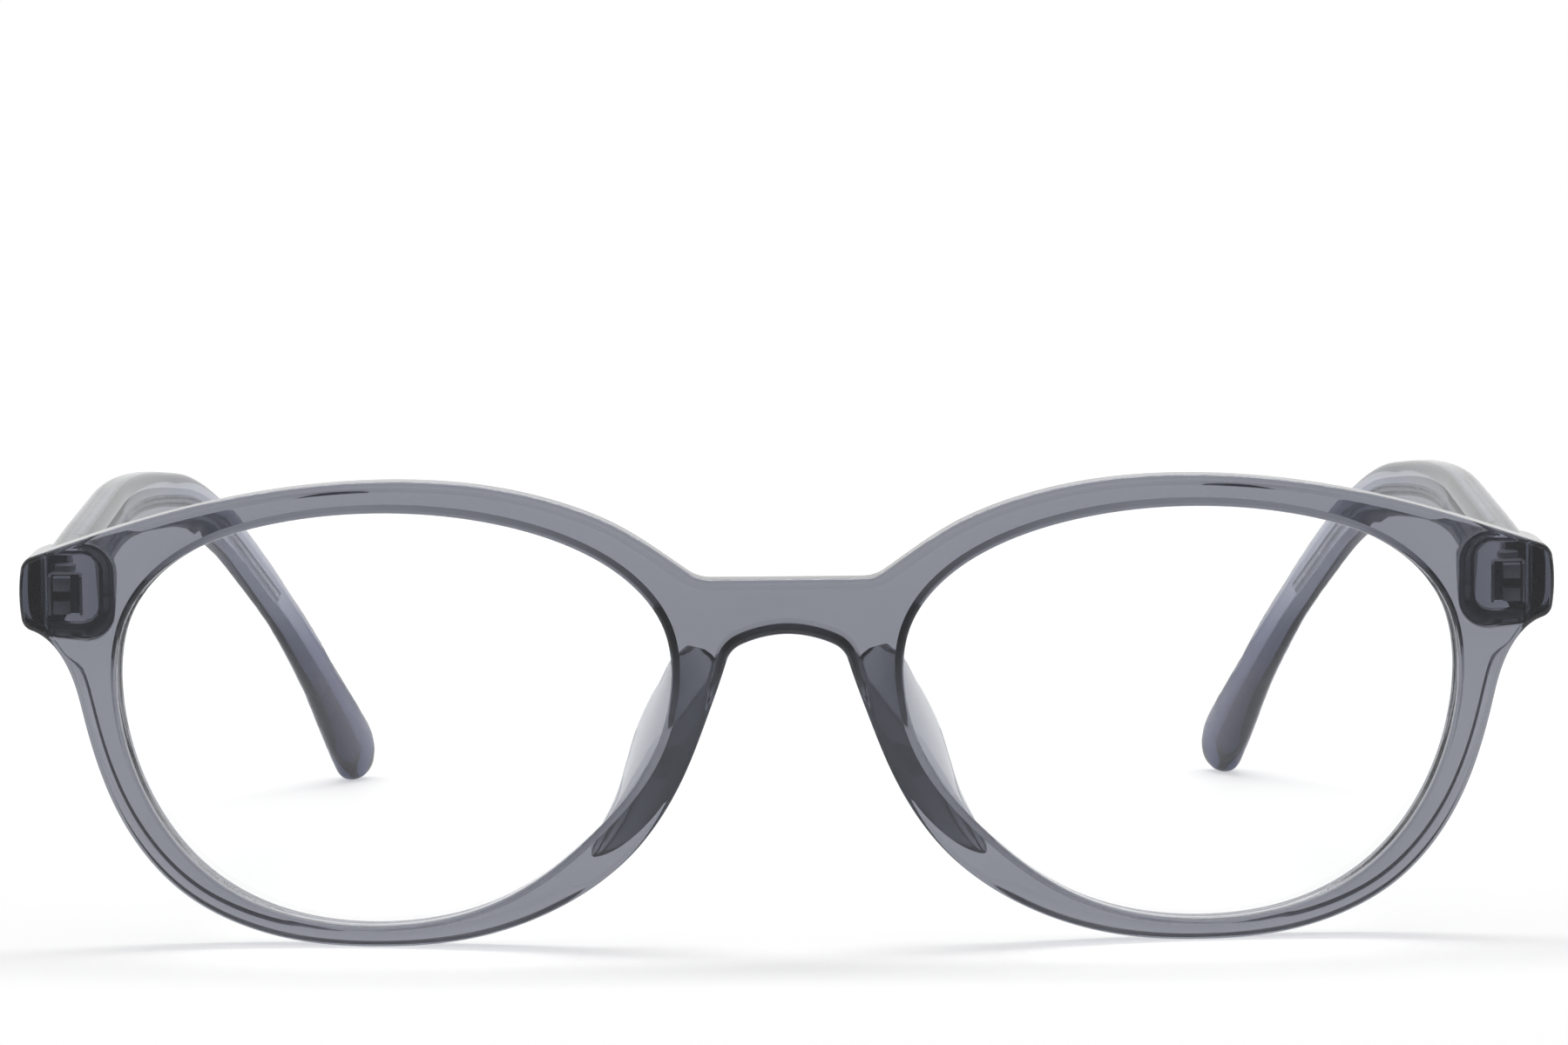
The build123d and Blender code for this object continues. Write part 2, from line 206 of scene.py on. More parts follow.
acetate = {
    "shader": clearShader(1.49, 0.92, 0.5), "thin": (0.74, 0.745, 0.77, 1), "dense": (0.68, 0.685, 0.72, 1),
    "cloudScale": 60.0, "smoothest": 0.005, "roughest": 0.02, "wave": 0.0000008,
    "absorb": (0.085, 0.115, 0.215, 1), "density": 296.0, "shadow": (0.5, 0.5, 0.55, 1),
}
padLook = {**acetate, "shader": clearShader(1.49, 0.88, 0.5), "density": 330.0, "shadow": (0.75, 0.75, 0.78, 1),
           "thin": (0.84, 0.85, 0.88, 1), "dense": (0.76, 0.77, 0.81, 1)}
# temples: painted light and shade, pale near the hinge and darkening to a deep blue at the tip
templeLook = {**acetate, "shader": clearShader(1.49, 0.92, 0.25), "density": 240.0, "places": (-0.005, 0.035, 0.058),
              "near": (0.97, 0.985, 1.0, 1), "middle": (0.82, 0.84, 0.93, 1), "far": (0.16, 0.18, 0.34, 1)}
lensLook = {
    "shader": clearShader(1.5, 1.0, 0.15), "thin": (1, 1, 1, 1), "dense": (0.985, 0.99, 0.995, 1), "cloudScale": 30.0,
    "smoothest": 0.0, "roughest": 0.004, "wave": 0.0000004, "shadow": (0.97, 0.97, 0.98, 1),
}
edgeLook = {**lensLook, "shader": clearShader(1.5, 1.0, 0.5), "smoothest": 0.2, "roughest": 0.4, "wave": 0.000004,
            "dense": (0.94, 0.97, 1.0, 1)}
steelLook = {
    "shader": {"Metallic": 0.45}, "thin": (0.80, 0.80, 0.81, 1), "dense": (0.62, 0.62, 0.64, 1), "cloudScale": 400.0,
    "stretch": (1, 0.06, 1), "smoothest": 0.25, "roughest": 0.42, "wave": 0.000002,
}
wireLook = {**steelLook, "shader": {"Metallic": 1.0}, "stretch": (1, 0.03, 1), "smoothest": 0.22, "roughest": 0.45}
greyAcetate, padAcetate, templeAcetate, clearLens, groundEdge, hingeSteel, wireSteel = (
    lookMaterial(name, look) for name, look in (
        ("greyAcetate", acetate), ("padAcetate", padLook), ("templeAcetate", templeLook), ("clearLens", lensLook),
        ("groundLensEdge", edgeLook), ("hingeSteel", steelLook), ("wireSteel", wireLook),
    )
)
print("materials made")

# front: the solid front's outline with softer edges, in its own millimetres and degrees
front = {
    "lean": 2.5, "wrap": 300.0, "thickness": 3.8, "setBack": 0.012, "pivot": (66.2, 31.8, 16.4),
    "eyeWidth": 51.4, "eyeHeight": 38.1, "eyeOut": 35.9, "eyeUp": 20.95, "rimSide": 29.2, "rimTop": 21.95,
    "browWay": -19, "archWay": 107, "outerRound": 0.38, "innerRound": 0.35, "roundSteps": 6, "support": 0.12,
    "rearBevel": 1.3, "rearCrease": 28, "smallBevel": 0.3, "archBevel": 1.1, "archSteep": 2.0, "rimRoom": 0.45,
    "bevelHalf": 0.85, "grooveDepth": 0.65, "bossIn": 63.0, "bossDepth": 13.93, "bossHalf": 3.2, "bossCorner": 1.6,
    "bossMiddle": 32.255, "bossSteepness": 2.67, "blend": 0.6, "wallIn": 68.2, "wallDepth": 17.0, "wallDraft": 0.5,
    "outlineStep": 0.7, "eyeStep": 0.4, "stepsPerRadian": 4, "grid": 1.2, "gridGap": 0.5, "endGrid": 0.28,
    "endGap": 0.6, "fineLow": 24.0,
}
# where the rear bevel changes: the start and the end of the change, outwards and upwards
bevelZones = {
    "end": ((59.0, 62.0), (24.5, 26.5)), "pad": ((20.5, 17.5), (27.0, 26.0)), "arch": ((8.0, 6.0), (31.5, 30.5)),
}
browShares = [
    (-0.709, 0.810), (-0.558, 0.894), (-0.274, 0.980), (-0.014, 1.000), (0.253, 0.979),
    (0.534, 0.918), (0.795, 0.828),
]
lowerShares = [
    (1.030, 0.200), (0.988, 0.000), (0.940, -0.239), (0.887, -0.418), (0.788, -0.632),
    (0.675, -0.783), (0.545, -0.887), (0.339, -0.974), (0.079, -1.000), (-0.247, -0.954),
    (-0.503, -0.823), (-0.740, -0.580), (-0.916, -0.200), (-0.980, 0.026),
]
outlineCorners = {
    "bridgeEnd": (6.9, 34.0), "browStart": (8.9, 34.62), "topCorner": (69.4, 35.65),
    "sideTop": (70.4, 34.45), "sideFoot": (70.4, 29.9), "lowCorner": (69.5, 28.86),
    "archFoot": (5.52, 26.54), "archCorner": (4.2, 28.05), "archTop": (0.0, 29.0),
}
eyeShares = [
    (1.000, 0.226), (0.960, 0.480), (0.855, 0.676), (0.690, 0.828), (0.430, 0.942),
    (0.030, 1.000), (-0.385, 0.949), (-0.660, 0.834), (-0.860, 0.664), (-0.975, 0.450),
    (-0.996, 0.150), (-0.918, -0.192), (-0.733, -0.511), (-0.388, -0.860), (0.106, -1.000),
    (0.440, -0.933), (0.680, -0.762), (0.880, -0.440), (0.978, -0.090),
]
leanSin, leanCos = sin(radians(front["lean"])), cos(radians(front["lean"]))
outDir, upDir, backDir = (np.array(v) for v in ((1, 0, 0), (0, -leanSin, leanCos), (0, leanCos, leanSin)))
pivotOut, pivotUp, pivotBack = front["pivot"]
pivotPlace = np.array(frame["joints"][0]["pos_m"])
frontOrigin = pivotPlace - (pivotOut * outDir + pivotUp * upDir + pivotBack * backDir) / 1000


def toWorld(points):
    points = np.asarray(points, float)
    back = points[:, 2:] + front["setBack"]
    return frontOrigin + (points[:, :1] * outDir + points[:, 1:2] * upDir + back * backDir) / 1000


def sag(out, up):
    return front["wrap"] - np.sqrt(front["wrap"] ** 2 - out**2 - (up - front["eyeUp"]) ** 2)


# a closed run, or an open one where the directions of its ends are given
def splineThrough(points, ways=None):
    points = np.asarray(points, float)
    count = len(points)
    after = np.linalg.norm(np.roll(points, -1, 0) - points, axis=1)
    before = np.roll(after, 1)
    rows = np.arange(count)
    matrix = np.zeros((count, count))
    matrix[rows, rows - 1] = after
    matrix[rows, rows] = 2 * (before + after)
    matrix[rows, (rows + 1) % count] = before
    step, back = np.roll(points, -1, 0) - points, points - np.roll(points, 1, 0)
    right = 3 * (back * (after / before)[:, None] + step * (before / after)[:, None])
    if ways is not None:
        for end, way in ((0, ways[0]), (count - 1, ways[1])):
            matrix[end] = 0
            matrix[end, end] = 1
            right[end] = way
    slopes = np.linalg.solve(matrix, right)
    t = np.arange(0, 1, fineness["splineStep"])[:, None]
    runs = []
    for i in range(count if ways is None else count - 1):
        j = (i + 1) % count
        m, n = slopes[i] * after[i], slopes[j] * after[i]
        runs.append((2 * t**3 - 3 * t**2 + 1) * points[i] + (t**3 - 2 * t**2 + t) * m
                    + (3 * t**2 - 2 * t**3) * points[j] + (t**3 - t**2) * n)
    return np.concatenate(runs)


def turned(way, turns):
    return np.stack([way[0] * np.cos(turns) - way[1] * np.sin(turns),
                     way[0] * np.sin(turns) + way[1] * np.cos(turns)], axis=-1)


# an arc between two points that starts in a given direction, and the direction it ends in
def arcFrom(start, end, way):
    start, end, way = (np.asarray(v, float) for v in (start, end, way))
    chord = end - start
    side = np.array([-way[1], way[0]])
    centre = start + side * (chord @ chord / (2 * chord @ side))
    sweep = 2 * np.arctan2(chord @ side, chord @ way)
    return (centre + turned(start - centre, np.linspace(0, sweep, fineness["arc"])))[:-1], turned(way, sweep)


# even places along a closed run, closer where it bends, and their outward normals
def evenLoop(dense, spacing):
    step = np.roll(dense, -1, 0) - dense
    length = np.linalg.norm(step, axis=1)
    angle = np.arctan2(step[:, 1], step[:, 0])
    turn = (np.roll(angle, -1) - angle + np.pi) % (2 * np.pi) - np.pi
    weight = np.concatenate([[0], np.cumsum(length / spacing + np.abs(turn) * front["stepsPerRadian"])])
    way = step / length[:, None]
    way = way + np.roll(way, 1, 0)
    amount = int(weight[-1])
    picks = np.arange(amount) * weight[-1] / amount
    closed = lambda values: np.append(values, values[0])
    spot, way = (np.stack([np.interp(picks, weight, closed(v[:, k])) for k in (0, 1)], axis=1)
                 for v in (dense, way))
    way /= np.linalg.norm(way, axis=1)[:, None]
    return spot, np.stack([way[:, 1], -way[:, 0]], axis=1)


def frontOutline():
    browWay, archWay = (turned((1, 0), radians(front[name])) for name in ("browWay", "archWay"))
    brow = [(front["eyeOut"] + front["rimSide"] * x, front["eyeUp"] + front["rimTop"] * y) for x, y in browShares]
    lower = [(front["eyeOut"] + front["rimSide"] * x, front["eyeUp"] * (1 + y)) for x, y in lowerShares]
    corner = {name: np.array(spot) for name, spot in outlineCorners.items()}
    runs = [np.linspace((0, corner["bridgeEnd"][1]), corner["bridgeEnd"], fineness["straight"])[:-1]]

    def addArcs(way, *names):
        for start, end in zip(names, names[1:]):
            dots, way = arcFrom(corner[start], corner[end], way)
            runs.append(dots)
        return way

    way = addArcs((1, 0), "bridgeEnd", "browStart")
    runs.append(splineThrough([corner["browStart"], *brow, corner["topCorner"]], (way, browWay)))
    way = addArcs(browWay, "topCorner", "sideTop", "sideFoot", "lowCorner")
    runs.append(splineThrough([corner["lowCorner"], *lower, corner["archFoot"]], (way, archWay)))
    addArcs(archWay, "archFoot", "archCorner", "archTop")
    half = np.concatenate([*runs, [corner["archTop"]]])
    return np.concatenate([half, half[-2:0:-1] * (-1, 1)])[::-1]


# rear face: the plate, with a boss for the hinge and a wall at each end
def rearDepth(out, up):
    plate = sag(out, up) + front["thickness"]
    far = np.abs(out)
    inX = front["bossIn"] + front["bossCorner"] - far
    inY = np.abs(up - front["bossMiddle"]) - front["bossHalf"] + front["bossCorner"]
    gap = np.hypot(np.maximum(inX, 0), np.maximum(inY, 0)) + np.minimum(np.maximum(inX, inY), 0)
    gap -= front["bossCorner"]
    boss = front["bossDepth"] - np.maximum(gap, 0) * front["bossSteepness"]
    share = np.clip(0.5 + (boss - plate) / (2 * front["blend"]), 0, 1)
    depth = plate + (boss - plate) * share + front["blend"] * share * (1 - share)
    wall = np.clip((far - front["wallIn"]) / front["wallDraft"] + 0.5, 0, 1)
    return depth + (front["wallDepth"] - depth) * wall * wall * (3 - 2 * wall)


eyeHalf = np.array([front["eyeWidth"] / 2, front["eyeHeight"] / 2])
eyeLine = splineThrough(np.array(eyeShares) * eyeHalf)
eyeTurn = asin(front["eyeOut"] / front["wrap"])
edgeSag = eyeHalf @ eyeHalf / (4 * front["wrap"])
eyeDepth = sag(front["eyeOut"], front["eyeUp"]) + front["thickness"] / 2 + edgeSag
eyeCentre = np.array([front["eyeOut"], front["eyeUp"], eyeDepth])
eyeX, eyeY = np.array([cos(eyeTurn), 0, sin(eyeTurn)]), np.array([0, 1, 0])
eyeZ = np.array([sin(eyeTurn), 0, -cos(eyeTurn)])
wrapCentre = np.array([0, front["eyeUp"], front["wrap"]])


# points over the plane of the lens, at a height from it or on a sphere about the wrap's centre
def eyeRow(flat, height=None, radius=None):
    base = eyeCentre + flat[:, :1] * eyeX + flat[:, 1:] * eyeY
    if height is None:
        offset = base - wrapCentre
        along = offset @ eyeZ
        height = (-along + np.sqrt(along**2 - np.sum(offset**2, axis=1) + radius**2))[:, None]
    return base + height * eyeZ


def insideLoop(points, loop):
    x, y = points[:, :1], points[:, 1:]
    x1, y1 = loop[:, 0], loop[:, 1]
    x2, y2 = np.roll(x1, -1), np.roll(y1, -1)
    crossing = ((y1 > y) != (y2 > y)) & (x < (x2 - x1) * (y - y1) / (y2 - y1 + 1e-12) + x1)
    return crossing.sum(axis=1) % 2 == 1


def onSheet(points, loops):
    return insideLoop(points, loops[0]) & ~np.any([insideLoop(points, eye) for eye in loops[1:]], axis=0)


# grid points between the loops, finer at the ends of the rear face
def sheetPoints(loops, rear):
    fullGrid = lambda across, rise: np.stack(np.meshgrid(across, rise), axis=-1).reshape(-1, 2)
    half, top = np.abs(loops[0][:, 0]).max(), loops[0][:, 1].max()
    grid, endGrid, endStart = front["grid"], front["endGrid"], bevelZones["end"][0][0]
    points = fullGrid(np.arange(-half, half, grid), np.arange(0, top, grid))
    points[:, 0] += (np.round(points[:, 1] / grid) % 2) * grid / 2
    gap = np.full(len(points), grid * front["gridGap"])
    if rear:
        points = points[(np.abs(points[:, 0]) < endStart) | (points[:, 1] < front["fineLow"])]
        fine = fullGrid(np.arange(endStart, half, endGrid), np.arange(front["fineLow"], top, endGrid))
        gap = np.concatenate([gap[: len(points)], np.full(2 * len(fine), endGrid * front["endGap"])])
        points = np.concatenate([points, fine, fine * (-1, 1)])
    keep = onSheet(points, loops)
    points, gap = points[keep], gap[keep]
    clear = np.ones(len(points), bool)
    for loop in loops:
        distance = np.array([np.min(np.sum((loop - p) ** 2, axis=1)) ** 0.5 for p in points])
        clear &= distance > gap
    return points[clear]


def fillSheet(loops, rear):
    extra = sheetPoints(loops, rear)
    spots = np.concatenate([*loops, extra])
    edges, start = [], 0
    for loop in loops:
        edges += [(start + i, start + (i + 1) % len(loop)) for i in range(len(loop))]
        start += len(loop)
    result = delaunay_2d_cdt([Vector(p) for p in spots], edges, [], 0, 1e-7)
    triangles = np.array(result[2])
    assert len(result[0]) == len(spots)
    return extra, triangles[onSheet(spots[triangles].mean(axis=1), loops)]


def ramp(value, start, end):
    share = np.clip((value - start) / (end - start), 0, 1)
    return share * share * (3 - 2 * share)


def buildFront():
    look, support = front, front["support"]
    vertices, faces, sharp = [], [], []

    def addRow(points):
        start = sum(len(v) for v in vertices)
        vertices.append(np.asarray(points, float))
        return np.arange(start, start + len(points))

    def joinRows(rows):
        for one, other in zip(rows, rows[1:]):
            faces.extend(zip(one, np.roll(one, -1), np.roll(other, -1), other))

    # outer edge: a round in front, and a wide curve that starts with a crease on the rear face
    outline, outward = evenLoop(frontOutline(), look["outlineStep"])
    r, bevel = look["outerRound"], look["rearBevel"]
    turns = np.radians(np.linspace(90, 0, look["roundSteps"] + 1))
    bends = np.radians(np.linspace(90 - look["rearCrease"], 0, look["roundSteps"] + 1))
    wide, wideTop = bevel / (1 - cos(bends[0])), sin(bends[0])
    profile = [(r * (1 - cos(a)), r * (1 - sin(a))) for a in turns]
    frontRows, rearRows = [], []
    for inset, drop in [(r + support, 0.0), *profile, (0.0, r + support)]:
        flat = outline - outward * inset
        frontRows.append(addRow(np.column_stack([flat, sag(flat[:, 0], flat[:, 1]) + drop])))

    # the end pieces and the rim under the pads keep a small bevel, as does a narrow rim
    out, up = np.abs(outline[:, :1]), outline[:, 1:]
    ends, pads, arch = (ramp(out, *bevelZones[name][0]) * ramp(up, *bevelZones[name][1])
                        for name in ("end", "pad", "arch"))
    spots, outwardEye = evenLoop(eyeLine, look["eyeStep"])
    rearWrap = look["wrap"] - look["thickness"]
    eyeBack = eyeRow(spots, radius=rearWrap)[:, :2]
    rim = np.array([np.min(np.linalg.norm(eyeBack - (abs(x), y), axis=1)) for x, y in outline])[:, None]
    room = np.clip((rim - look["innerRound"] - look["rimRoom"]) / (bevel + support), 0, 1)
    size = np.minimum(1 - np.maximum(ends, pads * (1 - arch)) * (1 - look["smallBevel"] / bevel), room)
    size = size * (1 - arch * (1 - look["archBevel"] / bevel))
    fall = (size * (1 + arch * (look["archSteep"] - 1)))[:, 0]
    profile = [(wide * (1 - cos(a)), bevel * (1 - sin(a) / wideTop)) for a in bends]
    for inset, drop in [(bevel + support, 0.0), *profile, (0.0, bevel + support)]:
        flat = outline - outward * (inset * size)
        rearRows.append(addRow(np.column_stack([flat, rearDepth(flat[:, 0], flat[:, 1]) - drop * fall])))
    sharp.append(rearRows[1])
    joinRows(frontRows + rearRows[::-1])
    frontLoops, rearLoops = [frontRows[0]], [rearRows[0]]

    # openings: round, wall, groove for the lens, wall and round
    r = look["innerRound"]
    near = [(r + support, 0.0), *((r * (1 - sin(a)), r * (1 - cos(a))) for a in turns[::-1]), (0.0, r + support)]
    groove = ((0, look["bevelHalf"]), (look["grooveDepth"], 0.0), (0, -look["bevelHalf"]))
    for side, _ in hands:
        place = lambda grow, **where: addRow(eyeRow(spots + outwardEye * grow, **where) * (side, 1, 1))
        rows = [place(grow, radius=look["wrap"] - drop) for grow, drop in near]
        middle = [place(grow, height=height) for grow, height in groove]
        sharp.extend(middle)
        rows += middle + [place(grow, radius=rearWrap + drop) for grow, drop in near[::-1]]
        joinRows(rows)
        frontLoops.append(rows[0])
        rearLoops.append(rows[-1])

    # front and rear faces
    for loops, depthAt in ((frontLoops, sag), (rearLoops, rearDepth)):
        placed = np.concatenate(vertices)
        extra, triangles = fillSheet([placed[loop][:, :2] for loop in loops], loops is rearLoops)
        added = addRow(np.column_stack([extra, depthAt(extra[:, 0], extra[:, 1])]))
        order = np.concatenate([*loops, added])
        faces.extend(tuple(order[list(t)]) for t in triangles)

    return np.concatenate(vertices), faces, sharp


def newPiece(name, data):
    piece = bpy.data.objects.new(name, data)
    bpy.context.scene.collection.objects.link(piece)
    return piece


def meshPiece(name, mesh):
    data = bpy.data.meshes.new(name)
    mesh.to_mesh(data)
    mesh.free()
    return newPiece(name, data)


def makeMesh(name, side, points, faces, sharp=()):
    mesh = bmesh.new()
    made = [mesh.verts.new(p) for p in toWorld(points * (side, 1, 1))]
    for face in faces:
        mesh.faces.new([made[i] for i in face])
    bmesh.ops.recalc_face_normals(mesh, faces=mesh.faces)
    for face in mesh.faces:
        face.smooth = True
    for row in sharp:
        for a, b in zip(row, np.roll(row, -1)):
            mesh.edges.get((made[a], made[b])).smooth = False
    print(" ", name, len(mesh.verts), "vertices,", len(mesh.faces), "faces")
    return meshPiece(name, mesh)


# skin over closed rows of points, with a fan of faces at each end
def closedSkin(rows):
    count = len(rows[0])
    follow = [(j, (j + 1) % count) for j in range(count)]
    faces = [(i + j, i + k, i + count + k, i + count + j)
             for i in range(0, (len(rows) - 1) * count, count) for j, k in follow]
    for centre, row in ((len(rows) * count, 0), (len(rows) * count + 1, (len(rows) - 1) * count)):
        faces += [(row + j, row + k, centre) for j, k in follow]
    return np.concatenate([*rows, [rows[0].mean(axis=0), rows[-1].mean(axis=0)]]), faces


def finish(piece, body, slot, replaced, *materials):
    piece.data.materials.clear()
    for material in materials:
        piece.data.materials.append(material)
    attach(piece, body)
    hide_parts(replaced)


def keepSharp(piece, angle):
    piece.data.set_sharp_from_angle(angle=radians(angle))


finish(makeMesh("polished_front", 1, *buildFront()), "front", "grey_acetate", "front_frame", greyAcetate)
print("front made")

# lenses: two wrapped faces that meet the ground V edge
lens = {"thickness": 1.4, "clearance": 0.05, "edgeHeight": 0.6, "edgeHalf": 0.85, "step": 0.5, "fits": 4,
        "rings": (0.03, 0.1, 0.2, 0.32, 0.45, 0.58, 0.7, 0.8, 0.88, 0.94, 0.98)}


def buildLens():
    spots, outward = evenLoop(eyeLine, lens["step"])
    count = len(spots)
    outer = front["wrap"] - (front["thickness"] - lens["thickness"]) / 2
    halves = []
    for radius in (outer, outer - lens["thickness"]):
        grow = np.zeros((count, 1))
        for _ in range(lens["fits"]):  # the wrapped face ends where it meets the slope of the V
            rim = spots + outward * grow
            height = (eyeRow(rim, radius=radius) - eyeRow(rim, height=0.0)) @ eyeZ
            share = np.clip(1 - np.abs(height[:, None]) / lens["edgeHalf"], 0, 1)
            grow = lens["edgeHeight"] * share - lens["clearance"]
        halves.append([eyeRow(rim * share, radius=radius) for share in (*lens["rings"], 1)])
    ridge = eyeRow(spots + outward * (lens["edgeHeight"] - lens["clearance"]), height=0.0)
    edge = len(lens["rings"])
    sharp = [np.arange(count) + row * count for row in (edge, edge + 1, edge + 2)]
    return *closedSkin([*halves[0], ridge, *halves[1][::-1]]), sharp, range(edge * count, (edge + 2) * count)


*lensMesh, edgeFaces = buildLens()
for side, name in hands:
    piece = makeMesh("polished_lens_" + name, side, *lensMesh)
    finish(piece, "front", "clear_lens", "lens_" + name, clearLens, groundEdge)
    for i in edgeFaces:
        piece.data.polygons[i].material_index = 1
print("lenses made")

# nose pads: fins along the rear of the rim that lean away from the nose
pad = {
    "gap": 0.03, "rings": 56, "crestRound": 0.42, "crestMost": (0.4, 0.8),
    "outerPull": (0.35, 0.35), "innerPull": (0.35, 0.5), "endPower": 12, "endLeast": 0.04,
    "side": 9, "crest": 8, "seat": 6, "samples": 300, "sharpAngle": 50,
    "middle": [(7.85, 27.4), (8.4, 24.3), (9.05, 21.56), (11.15, 16.46), (14.3, 11.91), (17.9, 8.3)],
    "stations": [  # share of the way down, height, lean, half of the base
        (0.0, 0.9, 0.9, 1.95), (0.08, 2.2, 2.1, 1.95), (0.2, 3.9, 2.75, 1.85), (0.34, 5.1, 3.3, 1.7),
        (0.48, 5.7, 3.3, 1.6), (0.6, 5.6, 2.8, 1.55), (0.72, 4.8, 2.0, 1.5), (0.84, 3.4, 1.2, 1.3),
        (0.94, 1.7, 0.5, 0.95), (1.0, 0.5, 0.1, 0.6),
    ],
}


def lengthAlong(points):
    return np.concatenate([[0], np.cumsum(np.linalg.norm(np.diff(points, axis=0), axis=1))])


def smoothRun(points, amount):
    points = np.asarray(points, float)
    way = lambda a, b: (points[b] - points[a]) / np.linalg.norm(points[b] - points[a])
    dense = np.concatenate([splineThrough(points, (way(0, 1), way(-2, -1))), points[-1:]])
    length = lengthAlong(dense)
    picks = np.linspace(0, length[-1], amount)
    return np.stack([np.interp(picks, length, dense[:, k]) for k in range(points.shape[1])], axis=1)


# closed section: seat, outer side, round crest and inner side, across and back from the rim
def padSection(height, lean, half):
    r = min(pad["crestRound"], height * pad["crestMost"][0], half * pad["crestMost"][1])
    t = np.linspace(0, 1, pad["side"])[:, None]
    curve = lambda a, b, c: (1 - t) ** 2 * np.array(a) + 2 * t * (1 - t) * np.array(b) + t**2 * np.array(c)
    turns = np.linspace(0, pi, pad["crest"])[1:-1]
    crest = np.stack([lean + r * np.cos(turns), height - r + r * np.sin(turns)], axis=1)
    seat = np.stack([np.linspace(-half, half, pad["seat"]), np.zeros(pad["seat"])], axis=1)[1:-1]
    (outerLean, outerHeight), (innerLean, innerHeight) = pad["outerPull"], pad["innerPull"]
    outerSide = curve((half, 0), (half + lean * outerLean, height * outerHeight), (lean + r, height - r))
    innerSide = curve((lean - r, height - r), (lean * innerLean - half, height * innerHeight), (-half, 0))
    return np.concatenate([seat, outerSide, crest, innerSide])


def buildPad():
    middle = smoothRun(pad["middle"], pad["rings"])
    table = smoothRun(pad["stations"], pad["samples"])
    rows = []
    for i, share in enumerate(np.linspace(0, 1, pad["rings"])):
        height, lean, half = (np.interp(share, table[:, 0], table[:, k]) for k in (1, 2, 3))
        along = middle[min(i + 1, len(middle) - 1)] - middle[max(i - 1, 0)]
        along /= np.linalg.norm(along)
        half *= sqrt(max(1 - abs(2 * share - 1) ** pad["endPower"], pad["endLeast"]))
        section = padSection(height, lean, half)
        spots = middle[i] + section[:, :1] * (-along[1], along[0])
        depth = sag(spots[:, 0], spots[:, 1]) + front["thickness"] + pad["gap"] + section[:, 1]
        rows.append(np.column_stack([spots, depth]))
    return closedSkin(rows)


padMesh = buildPad()
for side, name in hands:
    piece = makeMesh("polished_pad_" + name, side, *padMesh)
    keepSharp(piece, pad["sharpAngle"])
    finish(piece, "front", "grey_acetate", "nose_pad_" + name, padAcetate)
print("pads made")

# temples: soft rounded bars along the solids' own line, with a round tip
temple = {
    "out": 67.8, "start": 17.15, "reach": 119.65, "inset": 18.4, "drop": 36.15, "arcShare": 0.45,
    "thickness": 4.0, "height": 6.8, "squareness": (3.4, 2.2), "roundingShares": (0.35, 0.75),
    "rings": 130, "ringsStart": 1.0, "sides": 56, "wayReach": 0.8, "straightEnd": 0.5,
    "frontRound": 0.3, "frontPlaces": (0.0, 0.04, 0.12), "tipTrim": 0.15, "tipHalf": 4.012, "tipRings": 26,
    "tipSweep": 86, "tipEdge": 2.4, "tipThinnest": 0.45,
    "notchOut": 67.75, "notchDepth": 18.4, "cutReach": 10.0, "clearance": 0.02, "sharpAngle": 40,
    "wireStart": 0.25, "wireEnd": 0.80, "wireRadius": 0.6,
}
# shares of the way back, inwards and down
spineShares = [
    (0.000, 0.000, 0.000), (0.408, 0.010, -0.073), (0.646, 0.275, 0.017), (0.810, 0.680, 0.447),
    (1.000, 1.000, 1.000),
]
# shares of the length, the thickness and the height
sectionShares = [
    (0.00, 1.00, 0.98), (0.12, 1.00, 1.00), (0.26, 0.95, 0.97), (0.40, 0.90, 0.91), (0.52, 0.83, 0.84),
    (0.63, 0.72, 0.72), (0.75, 0.70, 0.70), (0.86, 0.80, 0.84), (0.94, 0.98, 1.08), (1.00, 1.05, 1.18),
]
templeCorners = np.array([
    (temple["out"] - temple["inset"] * inset, pivotUp - temple["drop"] * drop, temple["start"] + temple["reach"] * back)
    for back, inset, drop in spineShares
])
templeRuns = np.linalg.norm(np.diff(templeCorners, axis=0), axis=1)
templeCuts = temple["arcShare"] * np.minimum(templeRuns[:-1], templeRuns[1:])


# straight runs joined by arcs that start and end the given distances from the corners
def roundedPath(points, cuts):
    dots = [points[:1]]
    t = np.linspace(0, 1, fineness["bend"])[:, None]
    for before, corner, after, cut in zip(points, points[1:], points[2:], cuts):
        arriving, leaving = corner - before, after - corner
        arriving, leaving = arriving / np.linalg.norm(arriving), leaving / np.linalg.norm(leaving)
        first, last = corner - arriving * cut, corner + leaving * cut
        weight = sqrt((1 + arriving @ leaving) / 2)
        a, b, c = (1 - t) ** 2, 2 * t * (1 - t) * weight, t**2
        dots.append((a * first + b * corner + c * last) / (a + b + c))
    return np.concatenate([*dots, points[-1:]])


# height of a quarter circle's end, from 0 at its rim to 1 where the distance is the radius
def roundEnd(distance, radius):
    return sqrt(max(1 - (1 - distance / radius) ** 2, 0))


